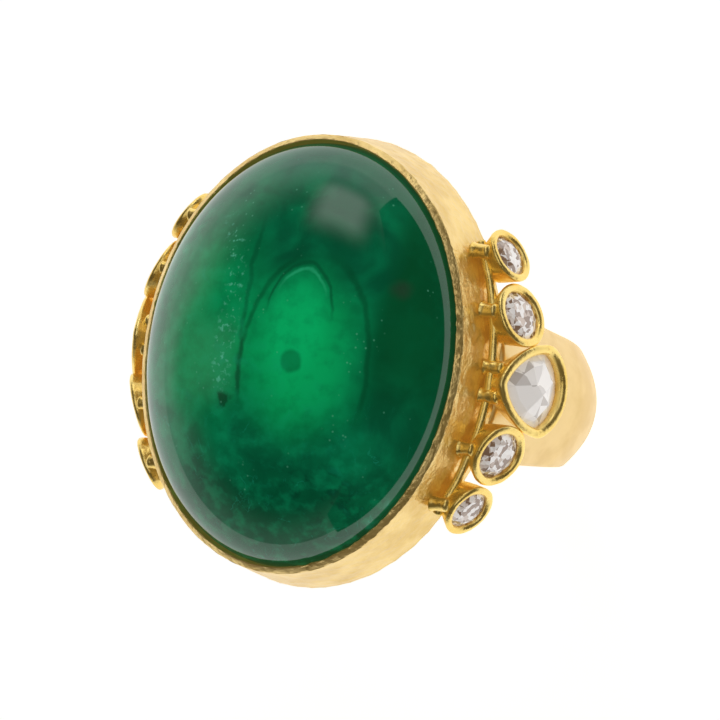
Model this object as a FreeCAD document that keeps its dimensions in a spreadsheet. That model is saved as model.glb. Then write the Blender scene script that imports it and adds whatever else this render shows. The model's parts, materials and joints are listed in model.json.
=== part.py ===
import FreeCAD, Part
import math
import os
import Sketcher
from FreeCAD import Placement, Rotation, Vector

# Cocktail ring in yellow gold: one oval emerald cabochon in a hammered bezel, and on each
# shoulder a pear-shaped diamond between round ones, every stone in a collet of its own.
# Origin: centre of the finger hole.  +Y along the finger, +Z out through the big stone.

# Driving sizes, in millimetres and degrees.
SIZES = {
    # finger band
    "bore_radius": 8.65,
    "band_wall_side": 1.75,
    "band_wall_bottom": 1.65,
    "band_half_width_top": 3.95,
    "band_half_width_bottom": 2.75,
    "band_crown": 1.35,
    "band_under_plate": 1.04,
    "shoulder_overhang": 0.17,
    # heights of the big setting, from the finger hole upwards
    "finger_clearance": 0.65,
    "girdle_above_base": 3.2,
    "rim_above_girdle": 1.0,
    "dome_height": 5.8,
    # big stone, measured at its girdle
    "stone_half_length": 11.19,
    "stone_half_width": 8.84,
    "stone_belly_depth": 0.85,
    "stone_belly_inset": 0.9,
    # big bezel
    "lip_overlap": 0.1,
    "lip_bevel_down": 0.4,
    "rim_band": 0.48,
    "rim_land": 0.1,
    "rim_drop": 0.25,
    "wall_flare": 0.45,
    # seat ring and back plate under the big stone
    "seat_width": 1.3,
    "plate_thickness": 0.45,
    "vent_radius": 0.45,
    # round side stones and their collets
    "medium_stone_radius": 1.38,
    "medium_wall": 0.36,
    "medium_depth": 1.75,
    "medium_base_radius": 1.05,
    "medium_rise": 0.68,
    "medium_tilt": 72.0,
    "medium_turn": 22.0,
    "small_stone_radius": 1.2,
    "small_wall": 0.3,
    "small_depth": 1.55,
    "small_base_radius": 0.9,
    "small_rise": 0.65,
    "small_tilt": 76.0,
    "small_turn": 31.0,
    "culet_clearance": 0.08,
    "lip_width": 0.12,
    "girdle_sink": 0.38,
    "crown_height": 0.36,
    "table_share": 0.56,
    "pavilion_share": 0.83,
    "culet_share": 0.03,
    "collet_hole_radius": 0.55,
    # pear side stones and their collets
    "pear_tip_reach": 2.25,
    "pear_end_reach": 2.05,
    "pear_half_width": 2.05,
    "pear_wide_station": 0.75,
    "pear_flank_radius": 3.4,
    "pear_stone_height": 0.95,
    "pear_girdle_taper": 0.08,
    "pear_girdle_share": 0.25,
    "pear_shoulder_share": 0.75,
    "pear_shoulder_inset_share": 0.333,
    "pear_table_inset_share": 0.75,
    "pear_wall": 0.42,
    "pear_depth": 1.9,
    "pear_taper": 0.75,
    "pear_ledge_depth": 0.85,
    "pear_ledge_width": 0.4,
    "pear_standoff": 2.1,
    "pear_drop": 0.25,
    "pear_tilt": 71.0,
    # spacing of the row of collets along the bezel
    "collet_tuck": 0.46,
    "row_bend_angle": 22.0,
    "collet_gap": 0.05,
    # gallery wires
    "wire_radius": 0.3,
    "wire_lift": 0.12,
    "wire_overrun": 0.35,
    # fits
    "stone_gap": 0.02,
    "solder_gap": 0.02,
}

BEYOND = 40.0   # mm, further than any solid reaches
CUT_PAST = 1.0   # mm that a cutting solid runs past what it cuts
CUT_INTO_BORE = 0.6   # mm that the band's sections run inside the finger hole before it is bored
GEM_SIDES = 16   # facets round a round stone's girdle
DOME_STEPS = 3   # straight steps in which the bezel's inside follows the dome
TIP_GROWTH = 1.25   # how much further than the flanks a pear outline's point moves when it grows
WIDEST_GROWTH = 0.35   # how far its widest place moves towards the round end
FULL_WIDTH_SHARE = 1.25   # over 1: the band keeps its full width for a while below the shoulders
THINNING_POWER = 1.5   # over 1: the band's wall thins late, near the bottom

doc = FreeCAD.newDocument("cocktail_ring")
sheet = doc.addObject("Spreadsheet::Sheet", "Sizes")
for line, (alias, number) in enumerate(SIZES.items(), start=1):
    sheet.set(f"A{line}", alias)
    sheet.set(f"B{line}", str(number))
    sheet.setAlias(f"B{line}", alias)
doc.recompute()


def size(text):
    """Expression text in which every size's name is looked up in the sheet."""
    words = sorted(SIZES, key=len, reverse=True)
    for number, word in enumerate(words):
        text = text.replace(word, f"@{number}@")
    for number, word in enumerate(words):
        text = text.replace(f"@{number}@", f"Sizes.{word}")
    return text


# Heights and outlines that several pieces share.
BASE_Z = "(bore_radius + finger_clearance)"
GIRDLE_Z = f"({BASE_Z} + girdle_above_base)"
RIM_Z = f"({GIRDLE_Z} + rim_above_girdle)"
STONE_BASE_Z = f"({GIRDLE_Z} - stone_belly_depth)"
OPEN_X = "(stone_half_width - lip_overlap)"
OPEN_Y = "(stone_half_length - lip_overlap)"
OUTER_X = f"({OPEN_X} + rim_band + wall_flare)"
OUTER_Y = f"({OPEN_Y} + rim_band + wall_flare)"

# Places of the collets' faces in the row, worked out from the bezel and the stones.
MEDIUM_RIM = "(medium_stone_radius + medium_wall)"
SMALL_RIM = "(small_stone_radius + small_wall)"
MEDIUM_Y = f"(pear_half_width + pear_wall + {MEDIUM_RIM} - collet_tuck)"
SMALL_Y = f"({MEDIUM_Y} + ({MEDIUM_RIM} + {SMALL_RIM} + collet_gap) * cos(row_bend_angle))"


def wall_x(y):
    """Half width of the bezel's foot at distance y along the finger."""
    return f"({OUTER_X} * sqrt(1 - ({y} / {OUTER_Y})^2))"


def face_x(y, kind):
    """Distance from the finger hole's axis at which a round stone's point just clears the bezel."""
    point = f"(girdle_sink + pavilion_share * {kind}_stone_radius)"
    inward = f"({point} * sin({kind}_tilt) * cos({kind}_turn))"
    behind = wall_x(f"({y} - {point} * sin({kind}_turn))")
    return f"{behind} + {inward} + culet_clearance"


def round_place(y, kind):
    """Placement of a round collet on the right shoulder, its face turned out along the row."""
    return (f"placement(vector({face_x(y, kind)}; {y}; {BASE_Z} + {kind}_rise);"
            f" rotation(0; {kind}_tilt; -{kind}_turn))")


MEDIUM_PLACE = round_place(MEDIUM_Y, "medium")
SMALL_PLACE = round_place(SMALL_Y, "small")
PEAR_PLACE = (f"placement(vector({OUTER_X} + pear_standoff; 0; {BASE_Z} - pear_drop);"
              " rotation(0; pear_tilt; 0))")


def new(kind, name, **expressions):
    """A document object with its properties bound to the sheet."""
    thing = doc.addObject(kind, name)
    for prop, text in expressions.items():
        thing.setExpression(prop.replace("__", "."), size(text))
    return thing


def cut(name, base, tools):
    """base with every tool taken away, one after the other."""
    result = base
    for number, tool in enumerate(tools, start=1):
        step = doc.addObject("Part::Cut", name if number == len(tools) else f"{name}_cut{number}")
        step.Base = result
        step.Tool = tool
        result = step
    return result


def fused(name, first, second):
    both = doc.addObject("Part::Fuse", name)
    both.Base = first
    both.Tool = second
    return both


def mirrored(name, source, normal):
    """The same piece on the other side of the origin plane with this normal."""
    copy = doc.addObject("Part::Mirroring", name)
    copy.Source = source
    copy.Normal = normal
    return copy


def oval(name, half_x, half_y, z):
    """Ellipse in a level plane, its long axis along Y."""
    ring = new("Part::Ellipse", name, MajorRadius=half_y, MinorRadius=half_x)
    ring.Placement = Placement(Vector(0, 0, 0), Rotation(Vector(0, 0, 1), 90))
    ring.setExpression("Placement.Base.z", size(z))
    return ring


def oval_stack(name, levels):
    """Solid with straight flanks through ovals given as (half_x, half_y, z)."""
    stack = doc.addObject("Part::Loft", name)
    stack.Sections = [oval(f"{name}_oval{n}", *level) for n, level in enumerate(levels)]
    stack.Solid = True
    stack.Ruled = True
    return stack


def plane_of(body, role):
    return next(f for f in body.Origin.OriginFeatures if f.Role == role)


def sketch_on(body, name, role):
    sketch = body.newObject("Sketcher::SketchObject", name)
    sketch.AttachmentSupport = [(plane_of(body, role), "")]
    sketch.MapMode = "FlatFace"
    return sketch


def value(text):
    """Present value of an expression, for placing geometry before it is constrained."""
    found = sheet.evalExpression(size(text))
    return float(getattr(found, "Value", found))


def bow_middle(start, end, radius):
    """Middle of the arc that bows to the right of the way from start to end."""
    chord = end - start
    bow = radius - math.sqrt(radius ** 2 - chord.Length ** 2 / 4)
    outward = Vector(chord.y, -chord.x, 0).normalize()
    return (start + end) / 2 + outward * bow


def outline(sketch, corners, bows=None):
    """Closed outline through corners (two expressions each); bows gives the radius of each bowed edge."""
    bows = bows or {}
    count = len(corners)
    spots = [Vector(value(x), value(y), 0) for x, y in corners]
    for n in range(count):
        start = spots[n]
        end = spots[(n + 1) % count]
        if n in bows:
            edge = Part.Arc(start, bow_middle(start, end, value(bows[n])), end)
        else:
            edge = Part.LineSegment(start, end)
        sketch.addGeometry(edge, False)
    for n in range(count):
        sketch.addConstraint(Sketcher.Constraint("Coincident", n, 2, (n + 1) % count, 1))
    for n, (x, y) in enumerate(corners):
        # point 1 of a line or an arc is its start
        for kind, text in (("DistanceX", x), ("DistanceY", y)):
            at = sketch.addConstraint(Sketcher.Constraint(kind, -1, 1, n, 1, value(text)))
            sketch.setExpression(f"Constraints[{at}]", size(text))
    for n, text in bows.items():
        at = sketch.addConstraint(Sketcher.Constraint("Radius", n, value(text)))
        sketch.setExpression(f"Constraints[{at}]", size(text))


# ---------------------------------------------------------------- big stone and its setting
def emerald():
    dome = new("Part::Ellipsoid", "emerald_dome", Radius1="dome_height", Radius2="stone_half_width",
               Radius3="stone_half_length", Placement__Base__z=GIRDLE_Z)
    dome.Angle1 = 0
    belly = oval_stack("emerald_belly", [
        ("stone_half_width - stone_belly_inset", "stone_half_length - stone_belly_inset", STONE_BASE_Z),
        ("stone_half_width", "stone_half_length", GIRDLE_Z)])
    return fused("emerald", dome, belly)


def bezel_envelope(name, grow):
    """Outside of the bezel: a flared wall under a narrow bevelled rim."""
    return oval_stack(name, [
        (f"{OUTER_X} + {grow}", f"{OUTER_Y} + {grow}", f"{BASE_Z} - {grow}"),
        (f"{OPEN_X} + rim_band + {grow}", f"{OPEN_Y} + rim_band + {grow}", f"{RIM_Z} - rim_drop"),
        (f"{OPEN_X} + rim_land + {grow}", f"{OPEN_Y} + rim_land + {grow}", RIM_Z)])


def beside_dome(above_girdle):
    """Half width and half length of the room round the dome at a height above the girdle."""
    share = f"sqrt(1 - (({above_girdle}) / dome_height)^2)"
    return f"(stone_half_width + stone_gap) * {share}", f"(stone_half_length + stone_gap) * {share}"


def main_bezel():
    lip = "(rim_above_girdle - lip_bevel_down)"
    shaft = [("stone_half_width + stone_gap", "stone_half_length + stone_gap", z)
             for z in (f"{BASE_Z} - {CUT_PAST}", GIRDLE_Z)]
    heights = [f"{lip} * {n} / {DOME_STEPS}" for n in range(1, DOME_STEPS + 1)]
    dome = [(*beside_dome(height), f"{GIRDLE_Z} + {height}") for height in heights]
    mouth = [(OPEN_X, OPEN_Y, z) for z in (RIM_Z, f"{RIM_Z} + {CUT_PAST}")]
    room = oval_stack("bezel_room_for_stone", shaft + dome + mouth)
    return cut("main_bezel", bezel_envelope("bezel_body", "0"), [room])


SEAT_X = "(stone_half_width + stone_gap - solder_gap)"
SEAT_Y = "(stone_half_length + stone_gap - solder_gap)"
SEAT_TOP = f"({STONE_BASE_Z} - stone_gap)"
PLATE_X = f"({SEAT_X} - seat_width - solder_gap)"
PLATE_Y = f"({SEAT_Y} - seat_width - solder_gap)"


def stone_seat():
    ring = oval_stack("seat_blank", [(f"{SEAT_X} - solder_gap", f"{SEAT_Y} - solder_gap", z)
                                     for z in (BASE_Z, SEAT_TOP)])
    hole = oval_stack("seat_hole", [(f"{SEAT_X} - seat_width", f"{SEAT_Y} - seat_width", z)
                                    for z in (f"{BASE_Z} - {CUT_PAST}", f"{SEAT_TOP} + {CUT_PAST}")])
    return cut("stone_seat", ring, [hole])


def back_plate():
    plate = oval_stack("plate_blank", [(PLATE_X, PLATE_Y, z)
                                       for z in (BASE_Z, f"{BASE_Z} + plate_thickness")])
    vent = new("Part::Cylinder", "plate_vent", Radius="vent_radius",
               Height=f"plate_thickness + {2 * CUT_PAST}", Placement__Base__z=f"{BASE_Z} - {CUT_PAST}")
    return cut("back_plate", plate, [vent])


# ---------------------------------------------------------------- round collets and stones
def round_cup(name, stone, wall, depth, foot):
    """Tapered open cup turned about Z, its rim at height 0 and a lip over the stone's girdle."""
    body = doc.addObject("PartDesign::Body", name)
    profile = sketch_on(body, f"{name}_profile", "XZ_Plane")
    rim = f"({stone} + {wall})"
    room = f"({stone} + stone_gap)"
    crown_slope = f"(crown_height / ({stone} * (1 - table_share)))"
    pavilion = f"({room} * pavilion_share)"
    girdle_room = "(3 * stone_gap)"   # half the girdle's thickness, and two gaps
    outline(profile, [
        (f"{stone} - lip_width", "-lip_width / 2"),
        (f"{stone} + {wall} / 3", "0"),
        (rim, "-lip_width"),
        (foot, f"-{depth}"),
        ("collet_hole_radius", f"-{depth}"),
        ("collet_hole_radius",
         f"-girdle_sink - {girdle_room} - {pavilion} * (1 - collet_hole_radius / {room})"),
        (room, f"-girdle_sink - {girdle_room}"),
        (room, f"-girdle_sink + {girdle_room}"),
        (f"{stone} - lip_width", f"-girdle_sink + {girdle_room} + (lip_width + stone_gap) * {crown_slope}")])
    turned = body.newObject("PartDesign::Revolution", f"{name}_turned")
    turned.Profile = profile
    turned.ReferenceAxis = (plane_of(body, "Z_Axis"), [""])
    turned.Angle = 360
    body.Tip = turned
    return body


def round_stone(name, stone):
    """Many-sided brilliant: a table, a thin girdle and a point, its girdle at -girdle_sink."""
    levels = [(stone, "stone_gap"), (f"{stone} * table_share", "crown_height")]
    crown = doc.addObject("Part::Loft", f"{name}_crown")
    crown.Sections = [facet_ring(f"{name}_ring{n}", r, f"{z} - girdle_sink")
                      for n, (r, z) in enumerate(levels)]
    belt = doc.addObject("Part::Loft", f"{name}_girdle")
    belt.Sections = [facet_ring(f"{name}_belt{n}", stone, f"{z} - girdle_sink")
                     for n, z in enumerate(("-stone_gap", "stone_gap"))]
    pavilion = doc.addObject("Part::Loft", f"{name}_pavilion")
    pavilion.Sections = [
        facet_ring(f"{name}_culet", f"{stone} * culet_share",
                   f"-girdle_sink - stone_gap - {stone} * pavilion_share * (1 - culet_share)"),
        facet_ring(f"{name}_under", stone, "-stone_gap - girdle_sink")]
    for part in (crown, belt, pavilion):
        part.Solid = True
        part.Ruled = True
    return fused(name, fused(f"{name}_top", crown, belt), pavilion)


def facet_ring(name, radius, z):
    ring = new("Part::RegularPolygon", name, Circumradius=radius, Placement__Base__z=z)
    ring.Polygon = GEM_SIDES
    return ring


# ---------------------------------------------------------------- pear collets and stones
def pear_outline(body, name, grow, z):
    """Pear outline: a point towards -X, two bowed flanks and a round end towards +X."""
    sketch = sketch_on(body, name, "XY_Plane")
    sketch.setExpression("AttachmentOffset.Base.z", size(z))
    tip = f"(pear_tip_reach + {TIP_GROWTH} * ({grow}))"
    end = f"(pear_end_reach + ({grow}))"
    half = f"(pear_half_width + ({grow}))"
    wide = f"(pear_wide_station + {WIDEST_GROWTH} * ({grow}))"
    bow = f"({end} - {wide})"
    flank = f"pear_flank_radius + ({grow})"
    outline(sketch, [(f"-{tip}", "0"), (wide, f"-{half}"), (wide, half)],
            {0: flank, 1: f"({bow}^2 + {half}^2) / (2 * {bow})", 2: flank})
    return sketch


def pear_block(name, levels):
    """Loft with straight flanks through pear outlines given as (grow, z)."""
    body = doc.addObject("PartDesign::Body", name)
    outlines = [pear_outline(body, f"{name}_outline{n}", *level) for n, level in enumerate(levels)]
    loft = body.newObject("PartDesign::AdditiveLoft", f"{name}_loft")
    loft.Profile = outlines[0]
    loft.Sections = outlines[1:]
    loft.Ruled = True
    body.Tip = loft
    return body


def pear_shell(name, grow):
    return pear_block(name, [(f"pear_wall - pear_taper + {grow}", f"-pear_depth - {grow}"),
                             (f"pear_wall + {grow}", "-lip_width"),
                             (f"pear_wall / 2 + {grow}", "0")])


def pear_cup():
    room = pear_block("pear_room", [("stone_gap", "-pear_ledge_depth"), ("stone_gap", f"{CUT_PAST}")])
    well = pear_block("pear_well", [("-pear_ledge_width", f"-pear_depth - {CUT_PAST}"),
                                    ("-pear_ledge_width", f"{CUT_PAST}")])
    return cut("pear_cup", pear_shell("pear_outside", "0"), [room, well])


def pear_stone():
    floor = "-pear_ledge_depth + stone_gap"
    return pear_block("pear_rose", [
        ("0", floor),
        ("-pear_girdle_taper", f"{floor} + pear_stone_height * pear_girdle_share"),
        ("-pear_half_width * pear_shoulder_inset_share",
         f"{floor} + pear_stone_height * pear_shoulder_share"),
        ("-pear_half_width * pear_table_inset_share", f"{floor} + pear_stone_height")])


def placed(name, source, where):
    """A copy of a bench-made part, set in its place on the right shoulder."""
    copy = doc.addObject("Part::Compound", name)
    copy.Links = [source]
    copy.setExpression("Placement", size(where))
    return copy


# ---------------------------------------------------------------- gallery wires
WIRE_RISE = "(medium_rise + medium_stone_radius / 2 + wire_lift)"
WIRE_Z = f"({BASE_Z} + {WIRE_RISE})"
WALL_SHARE = f"({WIRE_RISE} / (girdle_above_base + rim_above_girdle - rim_drop))"
WALL_X = f"({OUTER_X} - wall_flare * {WALL_SHARE})"
WALL_Y = f"({OUTER_Y} - wall_flare * {WALL_SHARE})"
WIRE_BEND = f"({WALL_Y}^2 / {WALL_X})"
WIRE_HALF_ANGLE = f"asin(({SMALL_Y} + wire_overrun) / {WIRE_BEND})"


def wire_arc(name, grow):
    """Round wire bent to the curve of the bezel's side, one solder gap clear of its wall."""
    arc = new("Part::Torus", name, Radius1=f"{WIRE_BEND} + wire_radius + 2 * solder_gap",
              Radius2=f"wire_radius + {grow}", Angle3=f"2 * {WIRE_HALF_ANGLE}")
    where = f"placement(vector({WALL_X} - {WIRE_BEND}; 0; {WIRE_Z}); rotation(-{WIRE_HALF_ANGLE}; 0; 0))"
    arc.setExpression("Placement", size(where))
    return arc


# ---------------------------------------------------------------- finger band
SIDE_RADIUS = "(bore_radius + band_wall_side)"
SHOULDER_LEAN = f"(({SIDE_RADIUS} - {OUTER_X} - shoulder_overhang) / {BASE_Z})"
# Stations of the band's sections, in degrees from +Z round the finger towards +X; its two ends
# reach in under the back plate.
BAND_START = value(f"atan(({SEAT_X} - seat_width - band_under_plate) / {BASE_Z})")
BAND_STATIONS = [BAND_START, 46, 60, 75, 90, 112, 136, 160, 180, 200, 224, 248, 270, 285, 300, 314,
                 360 - BAND_START]


def band_section(body, number, station):
    """D section across the band: flat inside, upright sides and a bowed crown."""
    sketch = sketch_on(body, f"band_section_{number}", "YZ_Plane")
    sketch.AttachmentOffset = Placement(Vector(0, 0, 0), Rotation(Vector(1, 0, 0), station))
    turn = math.radians(station)
    rise = max(0.0, math.cos(turn))
    reach = abs(math.sin(turn)) if rise else 1.0
    low = max(0.0, -math.cos(turn)) ** THINNING_POWER
    wide = (1 + math.cos(turn)) / 2
    outside = (f"({SIDE_RADIUS} / ({reach:.5f} + {SHOULDER_LEAN} * {rise:.5f})"
               f" - (band_wall_side - band_wall_bottom) * {low:.5f})")
    spread = min(1.0, FULL_WIDTH_SHARE * wide)
    half = f"(band_half_width_bottom + (band_half_width_top - band_half_width_bottom) * {spread:.5f})"
    inside = f"(bore_radius - {CUT_INTO_BORE})"
    corners = [(f"-{half}", inside), (half, inside), (half, f"{outside} - band_crown"),
               (f"-{half}", f"{outside} - band_crown")]
    outline(sketch, corners, {2: f"({half}^2 + band_crown^2) / (2 * band_crown)"})
    return sketch


def shank(keep_outs):
    body = doc.addObject("PartDesign::Body", "band_body")
    sections = [band_section(body, n, station) for n, station in enumerate(BAND_STATIONS)]
    loft = body.newObject("PartDesign::AdditiveLoft", "band_loft")
    loft.Profile = sections[0]
    loft.Sections = sections[1:]
    body.Tip = loft
    bore = new("Part::Cylinder", "finger_hole", Radius="bore_radius")
    bore.Height = BEYOND
    bore.Placement = Placement(Vector(0, BEYOND / 2, 0), Rotation(Vector(1, 0, 0), 90))
    top = doc.addObject("Part::Box", "above_shoulders")
    top.Length = top.Width = top.Height = BEYOND
    top.Placement = Placement(Vector(-BEYOND / 2, -BEYOND / 2, 0), Rotation())
    top.setExpression("Placement.Base.z", size(f"{BASE_Z} - solder_gap"))
    return cut("shank", body, [bore, top] + keep_outs)


# ---------------------------------------------------------------- assembly
ACROSS = Vector(1, 0, 0)
ALONG = Vector(0, 1, 0)
pieces = {"emerald": emerald(), "main_bezel": main_bezel(), "stone_seat": stone_seat(),
          "back_plate": back_plate()}

wall_room = bezel_envelope("bezel_room", "solder_gap")
wire_room = wire_arc("wire_room", "solder_gap")
pieces["right_gallery_wire"] = wire_arc("right_gallery_wire", "0")

medium_cup = round_cup("medium_cup", "medium_stone_radius", "medium_wall", "medium_depth",
                       "medium_base_radius")
small_cup = round_cup("small_cup", "small_stone_radius", "small_wall", "small_depth", "small_base_radius")
collets = {
    "upper_medium_collet": placed("medium_cup_set", medium_cup, MEDIUM_PLACE),
    "upper_small_collet": placed("small_cup_set", small_cup, SMALL_PLACE),
    "pear_collet": placed("pear_cup_set", pear_cup(), PEAR_PLACE),
}
for name, blank in collets.items():
    pieces[f"right_{name}"] = cut(f"right_{name}", blank, [wall_room, wire_room])
medium_gem = round_stone("medium_brilliant", "medium_stone_radius")
small_gem = round_stone("small_brilliant", "small_stone_radius")
pieces["right_upper_medium_diamond"] = placed("right_upper_medium_diamond", medium_gem, MEDIUM_PLACE)
pieces["right_upper_small_diamond"] = placed("right_upper_small_diamond", small_gem, SMALL_PLACE)
pieces["right_pear_diamond"] = placed("right_pear_diamond", pear_stone(), PEAR_PLACE)

for name in [key for key in pieces if "_upper_" in key]:
    below = name.replace("upper", "lower")
    pieces[below] = mirrored(below, pieces[name], ALONG)
for name in [key for key in pieces if key.startswith("right_")]:
    left = name.replace("right", "left")
    pieces[left] = mirrored(left, pieces[name], ACROSS)

medium_room = new("Part::Cone", "medium_notch", Radius1="medium_base_radius + solder_gap",
                  Radius2=f"{MEDIUM_RIM} + solder_gap", Height="medium_depth - lip_width")
medium_room.setExpression("Placement.Base.z", size("-medium_depth"))
notch = placed("medium_notch_right", medium_room, MEDIUM_PLACE)
notch_below = mirrored("medium_notch_below", notch, ALONG)
pear_notch = placed("pear_notch_right", pear_shell("pear_notch", "solder_gap"), PEAR_PLACE)
right_notches = [notch, notch_below, pear_notch]
left_notches = [mirrored(f"left_{tool.Name}", tool, ACROSS) for tool in right_notches]
pieces["shank"] = shank(right_notches + left_notches)

doc.recompute()
for thing in doc.Objects:
    if "Invalid" in thing.State or "Error" in thing.State:
        raise RuntimeError(f"{thing.Name} failed: {thing.State}")
os.makedirs("parts", exist_ok=True)
for node, piece in pieces.items():
    piece.Label = node
    shape = piece.Shape
    if shape.isNull() or not shape.isValid() or shape.Volume <= 0:
        raise RuntimeError(f"{node} has no valid solid")
    shape.exportStep(f"parts/{node}.step")
    print(f"{node}: {len(shape.Solids)} solid, {shape.Volume:.2f} mm3")
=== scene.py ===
import json
import math

import bmesh
import bpy
import numpy as np
from mathutils import Matrix, Vector

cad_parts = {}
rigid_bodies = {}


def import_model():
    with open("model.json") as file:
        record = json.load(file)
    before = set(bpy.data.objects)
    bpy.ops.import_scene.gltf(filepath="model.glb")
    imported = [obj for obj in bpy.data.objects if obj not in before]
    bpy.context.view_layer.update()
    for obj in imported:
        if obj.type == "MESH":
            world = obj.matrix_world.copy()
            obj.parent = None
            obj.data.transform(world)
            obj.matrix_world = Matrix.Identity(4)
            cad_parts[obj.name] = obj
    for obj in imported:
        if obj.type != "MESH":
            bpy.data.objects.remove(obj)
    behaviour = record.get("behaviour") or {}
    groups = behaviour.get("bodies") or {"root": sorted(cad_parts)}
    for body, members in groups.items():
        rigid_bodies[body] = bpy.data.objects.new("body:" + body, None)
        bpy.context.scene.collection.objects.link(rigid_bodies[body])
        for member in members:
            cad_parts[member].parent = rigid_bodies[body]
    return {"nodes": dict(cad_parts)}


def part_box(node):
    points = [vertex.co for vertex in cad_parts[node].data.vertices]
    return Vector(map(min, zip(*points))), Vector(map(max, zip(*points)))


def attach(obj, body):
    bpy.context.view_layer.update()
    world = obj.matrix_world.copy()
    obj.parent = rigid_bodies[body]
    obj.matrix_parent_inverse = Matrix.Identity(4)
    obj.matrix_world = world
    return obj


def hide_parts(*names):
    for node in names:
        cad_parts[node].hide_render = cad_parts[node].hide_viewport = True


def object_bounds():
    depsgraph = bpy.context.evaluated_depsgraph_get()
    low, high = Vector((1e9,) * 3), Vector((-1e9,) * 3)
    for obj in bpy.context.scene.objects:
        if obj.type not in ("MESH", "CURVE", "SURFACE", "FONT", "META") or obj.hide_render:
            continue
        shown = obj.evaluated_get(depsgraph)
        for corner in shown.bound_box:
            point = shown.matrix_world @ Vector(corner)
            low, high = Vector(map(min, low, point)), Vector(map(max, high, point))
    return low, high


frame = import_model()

cad_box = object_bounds()
MM = 0.001


# ------------------------------------------------------------------ hammered bezel
# The collar round the big stone: a strip of sheet gold bent to an oval, soldered, planished with
# a small hammer so that its outside is covered in soft facets, and burnished over the stone.
class Amount:
    """A number that varies over a surface. Arithmetic on it adds Math nodes to its finish."""

    def __init__(self, finish, socket):
        self.finish = finish
        self.socket = socket

    def math(self, operation, first, second=0.0):
        return self.finish.node("ShaderNodeMath", {"operation": operation}, {0: first, 1: second})

    def __add__(self, other):
        return self.math("ADD", self, other)

    def __radd__(self, other):
        return self.math("ADD", other, self)

    def __sub__(self, other):
        return self.math("SUBTRACT", self, other)

    def __rsub__(self, other):
        return self.math("SUBTRACT", other, self)

    def __mul__(self, other):
        return self.math("MULTIPLY", self, other)

    def __rmul__(self, other):
        return self.math("MULTIPLY", other, self)

    def __truediv__(self, other):
        return self.math("DIVIDE", self, other)

    def __rtruediv__(self, other):
        return self.math("DIVIDE", other, self)

    def __pow__(self, other):
        return self.math("POWER", self, other)

    def __abs__(self):
        return self.math("ABSOLUTE", self)


class Finish:
    """A material with one Principled shader; the surface's own millimetres are its coordinates."""

    def __init__(self, name, slot, **constants):
        self.material = bpy.data.materials.new(name)
        self.material.use_nodes = True
        self.slot = slot
        self.tree = self.material.node_tree
        self.shader = next(n for n in self.tree.nodes if n.type == "BSDF_PRINCIPLED")
        for key, value in constants.items():
            self.shader.inputs[key.replace("_", " ")].default_value = value
        place = self.node("ShaderNodeTexCoord", output="Object")
        self.mm = self.vector("SCALE", place, Scale=1 / MM)

    def node(self, kind, settings=None, inputs=None, output=0):
        """Adds a node: settings first, then each input's value or link; gives one output."""
        made = self.tree.nodes.new(kind)
        for key, value in (settings or {}).items():
            setattr(made, key, value)
        for key, value in (inputs or {}).items():
            if isinstance(value, Amount):
                self.tree.links.new(value.socket, made.inputs[key])
            else:
                made.inputs[key].default_value = value
        return Amount(self, made.outputs[output])

    def vector(self, operation, first, second=None, output=0, **named):
        inputs = {0: first, **named}
        if second is not None:
            inputs[1] = second
        return self.node("ShaderNodeVectorMath", {"operation": operation}, inputs, output)

    def blend(self, share, first, second):
        """Colour between first (share 0) and second (share 1), by the node's own colour sockets."""
        inputs = {0: share, 6: first, 7: second}
        return self.node("ShaderNodeMix", {"data_type": "RGBA"}, inputs, output=2)

    def noise(self, scale, detail=2.0, at=None, distortion=0.0):
        return self.node("ShaderNodeTexNoise", None, {"Vector": at or self.mm, "Scale": scale,
                                                      "Detail": detail, "Distortion": distortion})

    def step(self, value, low, high, start=0.0, end=1.0):
        """Smooth rise from start to end as value goes from low to high."""
        return self.node("ShaderNodeMapRange", {"interpolation_type": "SMOOTHSTEP"},
                         {0: value, 1: low, 2: high, 3: start, 4: end})

    def axis(self, letter):
        return self.node("ShaderNodeSeparateXYZ", None, {0: self.mm}, output=letter)

    def set(self, name, amount):
        self.tree.links.new(amount.socket, self.shader.inputs[name])

    def bump(self, height, depth_mm):
        """Relief of the given depth where height goes from 0 to 1."""
        inputs = {"Height": height, "Distance": depth_mm * MM, "Strength": 1.0}
        self.set("Normal", self.node("ShaderNodeBump", None, inputs))


def gold(name, slot, bright, deep, rough, relief, relief_scale, scratch=0.0):
    """Yellow gold: colour drifting between two tones, uneven polish, a fine tool-worked relief and a faint
    painted amber glow.
    """
    # faint constant amber emission: painted light, a glow the gold gives off though it is no lamp
    made = Finish(name, slot, Metallic=1.0, Emission_Color=(1.0, 0.60, 0.10, 1), Emission_Strength=0.07)
    drift = made.noise(0.55, 3.0)
    grain = made.noise(relief_scale, 4.0)
    made.set("Base Color", made.blend(made.step(drift, 0.35, 0.65), (*bright, 1), (*deep, 1)))
    made.set("Roughness", rough[0] + (rough[1] - rough[0]) * made.noise(1.7, 4.0))
    height = grain
    if scratch:
        stretched = made.vector("MULTIPLY", made.mm, (1.0, 9.0, 1.0))
        height = grain + scratch * made.noise(2.2, 3.0, at=stretched)
    made.bump(height, relief)
    return made


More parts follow.
